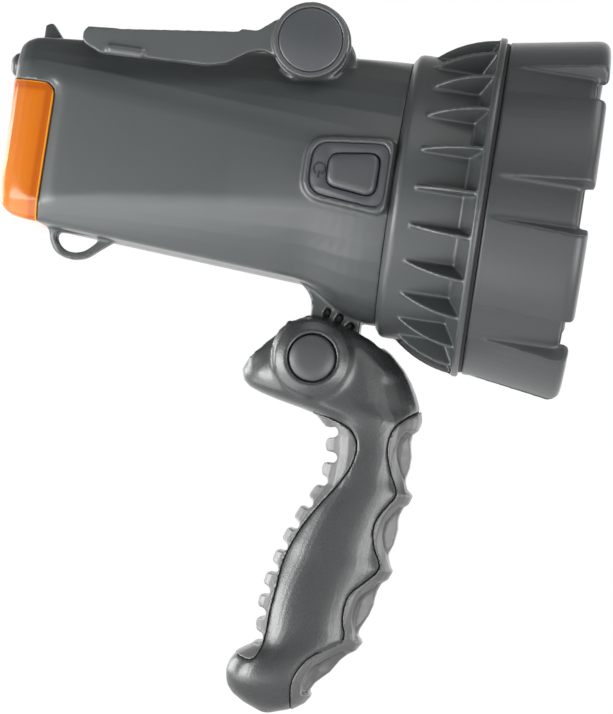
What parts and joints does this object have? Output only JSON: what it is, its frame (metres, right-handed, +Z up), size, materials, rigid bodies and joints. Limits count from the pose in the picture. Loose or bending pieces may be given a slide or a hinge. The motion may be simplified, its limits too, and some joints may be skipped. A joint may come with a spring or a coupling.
{
  "type": "handheld searchlight",
  "caption": "Handheld searchlight with a finned round head, lobed rubber bezel, tilting pistol grip, folding top stand and wrap-round amber rear light.",
  "frame": {"origin": "the middle of the hand grip, on the mid plane, where the closed hand holds it", "axes": "+X along the beam, +Z up with the grip hanging below the head, +Y to the user's left; the switch side faces -Y"},
  "size_m": [0.2082, 0.1256, 0.2483],
  "materials": {
    "housing_plastic": "satin, fine grain",
    "grip_plastic": "satin",
    "bezel_rubber": "satin",
    "grip_rubber": "matt",
    "button_rubber": "satin",
    "black_rubber": "matt",
    "black_plastic": "matt",
    "clear_lens": "polished",
    "bulb_glass": "polished",
    "mirror_coat": "polished",
    "bright_steel": "plated",
    "battery_case": "semi gloss",
    "amber_plastic": "translucent gloss",
    "board": "varnished",
    "led_plastic": "gloss"
  },
  "bodies": {
    "grip": {"grip_right": "grip_plastic", "grip_left": "grip_plastic", "palm_insert": "grip_rubber", "finger_insert": "grip_rubber", "pivot_bolt": "bright_steel", "pivot_cap": "grip_plastic", "grip_screws": "bright_steel"},
    "head": {"housing_right": "housing_plastic", "housing_left": "housing_plastic", "cooling_collar": "housing_plastic", "collar_seal": "black_rubber", "front_bezel": "bezel_rubber", "lens_ring": "black_plastic", "front_lens": "clear_lens", "lens_gasket": "black_rubber", "reflector": "mirror_coat", "bulb_glass": "bulb_glass", "bulb_base": "bright_steel", "bulb_holder": "black_plastic", "battery": "battery_case", "battery_terminals": "bright_steel", "switch_panel": "grip_plastic", "main_switch": "black_plastic", "amber_lens": "amber_plastic", "lamp_board": "board", "lamp_leds": "led_plastic", "rear_switch": "black_plastic", "housing_screws": "bright_steel", "stand_pin": "bright_steel"},
    "stand": {"stand_arm": "housing_plastic", "stand_cap_right": "grip_plastic", "stand_cap_left": "grip_plastic"},
    "power": {"power_button": "button_rubber"},
    "flasher": {"rear_button": "button_rubber"},
    "release": {"release_button": "button_rubber", "release_spring": "bright_steel"}
  },
  "joints": [
    {"name": "head_tilt", "type": "hinge", "parent": "grip", "child": "head", "pos_m": [-0.0168, 0, 0.0612], "axis": [0, -1, 0], "range_deg": [0, 80]},
    {"name": "stand_swing", "type": "hinge", "parent": "head", "child": "stand", "pos_m": [-0.0327, 0, 0.1677], "axis": [0, 1, 0], "range_deg": [0, 150]},
    {"name": "power_press", "type": "slide", "parent": "head", "child": "power", "axis": [0.1478, 0.989, 0], "range_m": [0, 0.0012], "stiffness_N_per_m": 1200, "springref_m": -0.0008},
    {"name": "flasher_press", "type": "slide", "parent": "head", "child": "flasher", "axis": [1, 0, 0], "range_m": [0, 0.0015], "stiffness_N_per_m": 1000, "springref_m": -0.0008},
    {"name": "release_press", "type": "slide", "parent": "grip", "child": "release", "axis": [0, 1, 0], "range_m": [0, 0.002], "stiffness_N_per_m": 1500, "springref_m": -0.001}
  ]
}
